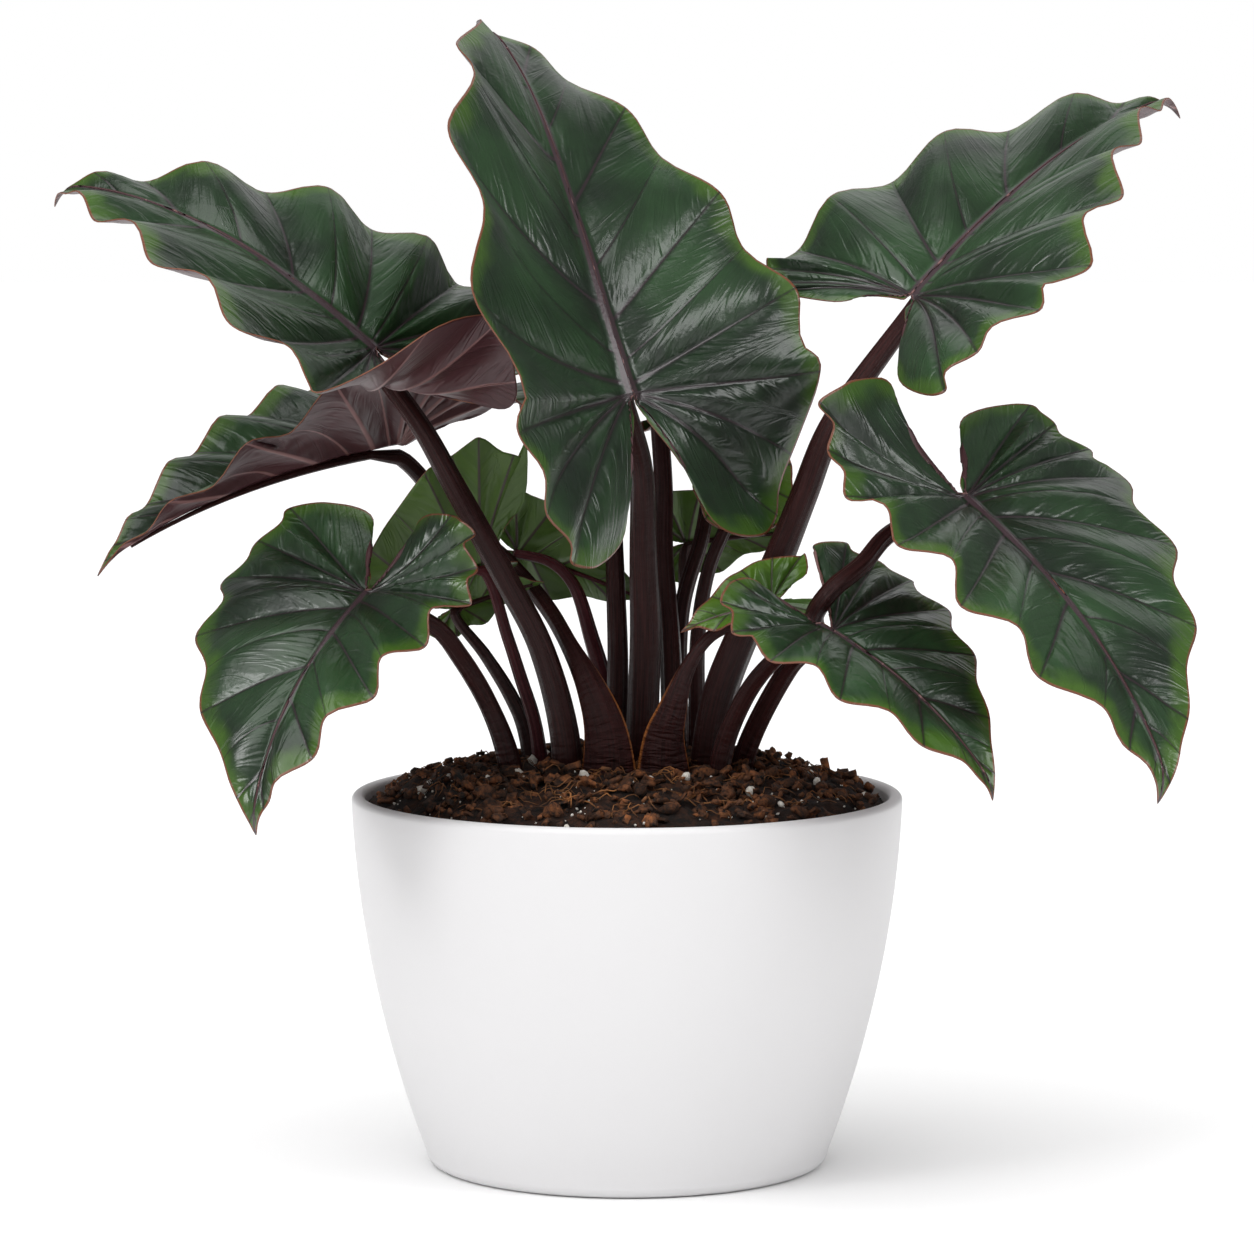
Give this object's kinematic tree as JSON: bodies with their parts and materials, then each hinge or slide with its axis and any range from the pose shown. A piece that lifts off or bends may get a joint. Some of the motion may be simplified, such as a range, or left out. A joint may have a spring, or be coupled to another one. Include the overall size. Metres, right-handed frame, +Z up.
{
  "type": "potted dark star alocasia",
  "caption": "Potted aroid house plant with dark, wavy, arrow-shaped leaves on purple stems, in a plain white tapering pot filled with bark mix.",
  "frame": {"origin": "centre of the pot's flat base", "axes": "+Z up; +Y away from the viewer, so the front faces -Y; +X to the right"},
  "size_m": [0.5046, 0.3281, 0.4994],
  "materials": {
    "pot_plastic": "satin white",
    "potting_mix": "moist bark, coir fibre and perlite",
    "leaf": "dark green, satin",
    "young_leaf": "olive green, satin",
    "stem": "dark purple, satin",
    "red_stem": "dark red, satin"
  },
  "bodies": {
    "root": {"pot": "pot_plastic", "soil": "potting_mix", "blade_centre": "leaf", "stem_centre": "stem", "blade_upper_left": "leaf", "stem_upper_left": "stem", "blade_left": "leaf", "stem_left": "stem", "blade_lower_left": "leaf", "stem_lower_left": "stem", "blade_upper_right": "leaf", "stem_upper_right": "stem", "blade_right": "leaf", "stem_right": "stem", "blade_lower_right": "leaf", "stem_lower_right": "stem", "blade_back_left": "young_leaf", "stem_back_left": "red_stem", "blade_back_centre": "young_leaf", "stem_back_centre": "red_stem", "blade_back_right": "young_leaf", "stem_back_right": "stem", "blade_small_right": "young_leaf", "stem_small_right": "stem", "blade_small_left": "young_leaf", "stem_small_left": "stem", "blade_rear_left": "leaf", "stem_rear_left": "stem", "blade_rear": "leaf", "stem_rear": "stem", "blade_rear_right": "leaf", "stem_rear_right": "stem", "blade_rear_small": "young_leaf", "stem_rear_small": "stem"}
  },
  "joints": []
}
